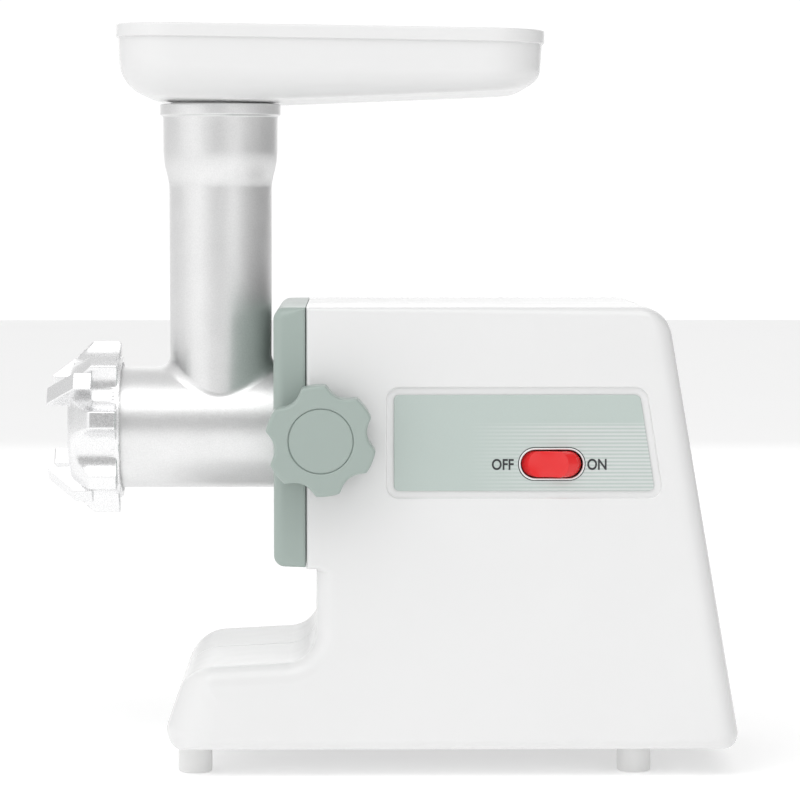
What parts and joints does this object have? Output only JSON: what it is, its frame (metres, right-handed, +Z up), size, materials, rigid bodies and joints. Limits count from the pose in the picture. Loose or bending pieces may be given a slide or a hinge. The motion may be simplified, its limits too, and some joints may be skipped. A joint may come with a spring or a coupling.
{
  "type": "electric meat grinder",
  "caption": "Electric meat grinder with a cast head in a front clamp, feed tube and tray on top, ring nut with ears, lobed clamp knob and a rocker switch on a pale green plate.",
  "frame": {"origin": "centre of the whole machine's bounding box, on the table under the feet", "axes": "+Z up, -X towards the nozzle and ring nut, -Y towards the side with the knob and the switch"},
  "size_m": [0.3376, 0.189, 0.3628],
  "materials": {
    "white_plastic": "gloss",
    "green_plastic": "satin",
    "plate_green": "satin",
    "red_plastic": "gloss",
    "dark_plastic": "matte",
    "cast_aluminium": "cast and polished",
    "steel": "satin",
    "copper": "satin",
    "nylon": "satin",
    "rubber": "matte"
  },
  "bodies": {
    "housing": {"switch_side_casing": "white_plastic", "plain_side_casing": "white_plastic", "front_collar": "green_plastic", "base_plate": "white_plastic", "front_right_foot": "rubber", "front_left_foot": "rubber", "back_right_foot": "rubber", "back_left_foot": "rubber", "front_right_foot_screw": "steel", "front_left_foot_screw": "steel", "back_right_foot_screw": "steel", "back_left_foot_screw": "steel", "casing_screw_1": "steel", "casing_screw_2": "steel", "casing_screw_3": "steel", "casing_screw_4": "steel", "rear_vent_grille": "white_plastic", "cord_gland": "white_plastic", "nameplate": "plate_green", "switch_bezel": "white_plastic", "switch_body": "dark_plastic", "head_socket": "cast_aluminium", "gearbox_housing": "dark_plastic", "gearbox_cover": "dark_plastic", "front_bearing": "steel", "stator": "steel", "front_field_coil": "copper", "back_field_coil": "copper", "left_brush_holder": "dark_plastic", "right_brush_holder": "dark_plastic", "motor_end_frame": "dark_plastic", "back_bearing": "steel", "left_motor_bolt": "steel", "right_motor_bolt": "steel"},
    "head": {"head_casting": "cast_aluminium", "plate_key_pin": "steel", "auger_bush": "nylon"},
    "tray": {"food_tray": "white_plastic"},
    "plate": {"grinding_plate": "steel"},
    "ring": {"ring_nut": "cast_aluminium"},
    "screw": {"auger": "cast_aluminium", "cutting_blade": "steel"},
    "output": {"output_shaft": "steel", "output_gear": "nylon"},
    "idler": {"idler_shaft": "steel", "idler_pinion": "steel", "idler_gear": "nylon"},
    "rotor": {"armature_shaft": "steel", "armature": "copper", "commutator": "copper", "motor_fan": "dark_plastic", "motor_pinion": "steel"},
    "rocker": {"switch_rocker": "red_plastic"},
    "pad": {"clamp_pad": "steel"},
    "knob": {"clamp_knob": "green_plastic", "knob_cap": "green_plastic", "clamp_screw": "steel"}
  },
  "joints": [
    {"name": "head_pull", "type": "slide", "parent": "housing", "child": "head", "axis": [-1, 0, 0], "range_m": [0, 0.12]},
    {"name": "tray_lift", "type": "slide", "parent": "head", "child": "tray", "axis": [0, 0, 1], "range_m": [0, 0.05]},
    {"name": "plate_slide", "type": "slide", "parent": "head", "child": "plate", "axis": [-1, 0, 0], "range_m": [0, 0.02]},
    {"name": "ring_turn", "type": "hinge", "parent": "plate", "child": "ring", "pos_m": [-0.14589, 0.0125, 0.1642], "axis": [-1, 0, 0], "range_deg": [0, 1800]},
    {"name": "auger_spin", "type": "hinge", "parent": "head", "child": "screw", "pos_m": [-0.09789, 0.0125, 0.1642], "axis": [1, 0, 0], "continuous": true},
    {"name": "output_spin", "type": "hinge", "parent": "housing", "child": "output", "pos_m": [0.00211, 0.0125, 0.1642], "axis": [1, 0, 0], "continuous": true},
    {"name": "idler_spin", "type": "hinge", "parent": "housing", "child": "idler", "pos_m": [0.00211, 0.0125, 0.12045], "axis": [1, 0, 0], "continuous": true},
    {"name": "motor_spin", "type": "hinge", "parent": "housing", "child": "rotor", "pos_m": [0.07411, 0.0125, 0.08895], "axis": [1, 0, 0], "continuous": true},
    {"name": "switch_rock", "type": "hinge", "parent": "housing", "child": "rocker", "pos_m": [0.07761, -0.0645, 0.1516], "axis": [0, 0, 1], "range_deg": [0, 24]},
    {"name": "pad_slide", "type": "slide", "parent": "housing", "child": "pad", "axis": [0, -1, 0], "range_m": [0, 0.004]},
    {"name": "knob_turn", "type": "hinge", "parent": "pad", "child": "knob", "pos_m": [-0.03269, -0.0855, 0.1642], "axis": [0, -1, 0], "range_deg": [0, 720]}
  ],
  "couplings": [
    {"joint": "plate_slide", "follows": "ring_turn", "m_per_rad": 0.00063656},
    {"joint": "auger_spin", "follows": "output_spin", "ratio": 1},
    {"joint": "idler_spin", "follows": "output_spin", "ratio": -6},
    {"joint": "motor_spin", "follows": "output_spin", "ratio": 36},
    {"joint": "pad_slide", "follows": "knob_turn", "m_per_rad": 0.00031828}
  ]
}
